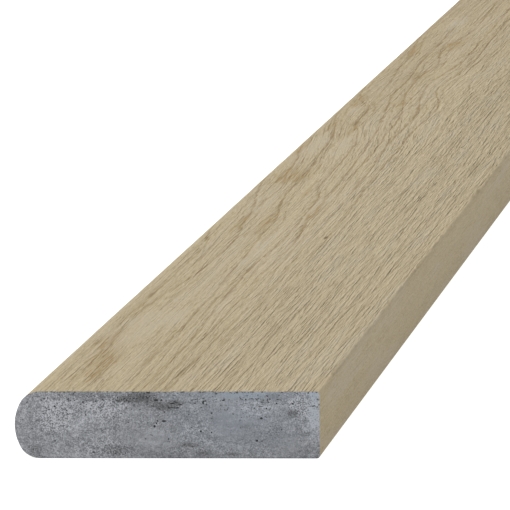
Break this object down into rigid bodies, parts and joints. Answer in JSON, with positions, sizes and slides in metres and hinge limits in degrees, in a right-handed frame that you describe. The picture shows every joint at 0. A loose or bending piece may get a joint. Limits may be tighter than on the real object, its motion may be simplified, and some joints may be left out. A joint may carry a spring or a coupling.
{
  "type": "bullnose decking board",
  "caption": "Moulded oak-effect composite decking board with a rounded nose along one long edge, used as the front edge of a deck or step.",
  "frame": {"origin": "on the underside, at the middle of the board's length and width", "axes": "+Y along the board's length, +Z out of the grained face, -X out of the rounded nose, +X out of the square edge"},
  "size_m": [0.1499, 3.2, 0.033],
  "materials": {
    "oak_effect_composite": "matte"
  },
  "bodies": {
    "root": {"bullnose_board": "oak_effect_composite"}
  },
  "joints": []
}
